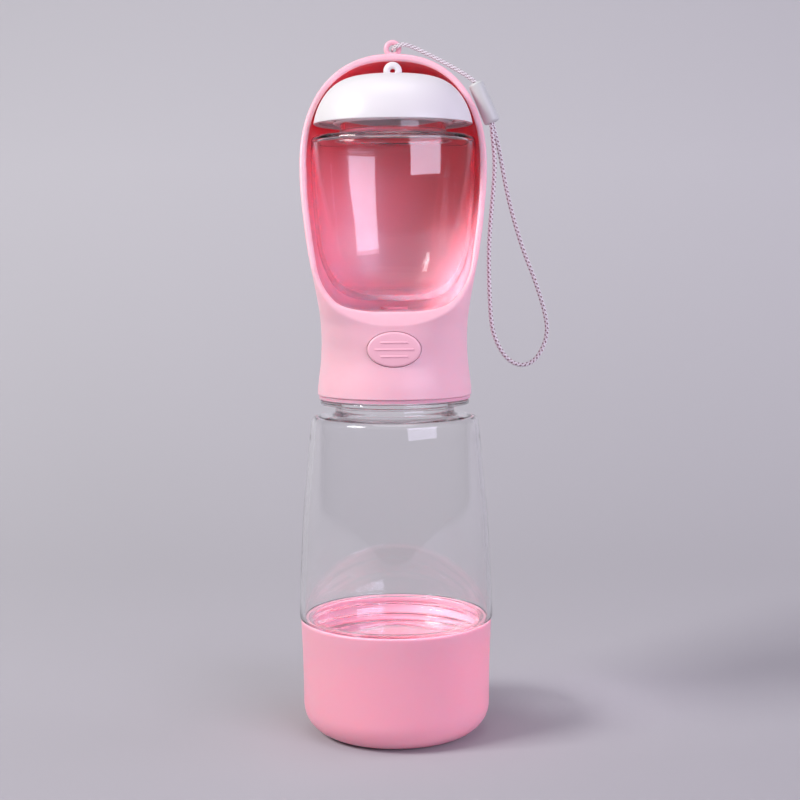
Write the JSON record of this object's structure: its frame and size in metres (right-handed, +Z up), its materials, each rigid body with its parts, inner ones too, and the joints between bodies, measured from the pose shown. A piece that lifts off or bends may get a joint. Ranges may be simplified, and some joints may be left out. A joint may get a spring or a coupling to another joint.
{
  "type": "dog travel water bottle",
  "caption": "Travel water bottle for dogs: clear bottle on a screw-on snack cup, drinking scoop head with push-button valve, clear food cup and wrist loop.",
  "frame": {"origin": "centre of the snack cup's foot, on the surface that the bottle stands on", "axes": "+Z up along the bottle's axis, -Y the side that the scoop and the button face, +X the side that the wrist loop hangs on"},
  "size_m": [0.0993, 0.0764, 0.2711],
  "materials": {
    "pink_plastic": "satin moulded plastic",
    "clear_plastic": "clear moulded plastic",
    "white_plastic": "smooth moulded plastic",
    "silicone": "translucent white silicone",
    "rod_plastic": "turned plastic rod",
    "black_rubber": "moulded rubber",
    "spring_steel": "bright spring wire",
    "strap_cord": "fine braided cord, white and mauve",
    "sleeve_plastic": "grey lilac moulded plastic"
  },
  "bodies": {
    "snack_cup": {"base_cup": "pink_plastic"},
    "lower_seal": {"base_seal": "silicone"},
    "clear_bottle": {"bottle": "clear_plastic"},
    "upper_seal": {"neck_seal": "silicone"},
    "head": {"neck_collar": "pink_plastic", "head_shell": "pink_plastic", "valve_housing": "white_plastic", "outlet_grommet": "silicone", "rod_oring": "black_rubber", "valve_spring": "spring_steel", "valve_cap": "white_plastic", "strap_tie": "strap_cord", "strap_sleeve": "sleeve_plastic", "strap_loop": "strap_cord"},
    "push_button": {"button": "pink_plastic", "valve_rod": "rod_plastic", "valve_seal": "silicone"},
    "food": {"food_cup": "clear_plastic", "food_cup_lid": "white_plastic", "lid_seal": "silicone"}
  },
  "joints": [
    {"name": "bottle_lift", "type": "slide", "parent": "snack_cup", "child": "lower_seal", "axis": [0, 0, 1], "range_m": [0, 0.06]},
    {"name": "bottle_turn", "type": "hinge", "parent": "lower_seal", "child": "clear_bottle", "pos_m": [0, 0, 0.045], "axis": [0, 0, 1], "range_deg": [0, 360]},
    {"name": "head_lift", "type": "slide", "parent": "clear_bottle", "child": "upper_seal", "axis": [0, 0, 1], "range_m": [0, 0.05]},
    {"name": "head_turn", "type": "hinge", "parent": "upper_seal", "child": "head", "pos_m": [0, 0, 0.142], "axis": [0, 0, 1], "range_deg": [0, 360]},
    {"name": "button_press", "type": "slide", "parent": "head", "child": "push_button", "axis": [0, 1, 0], "range_m": [0, 0.0035], "stiffness_N_per_m": 400, "springref_m": -0.002, "deforming": ["valve_spring"]},
    {"name": "food_cup_out", "type": "slide", "parent": "head", "child": "food", "axis": [0, -1, 0], "range_m": [0, 0.07]}
  ]
}
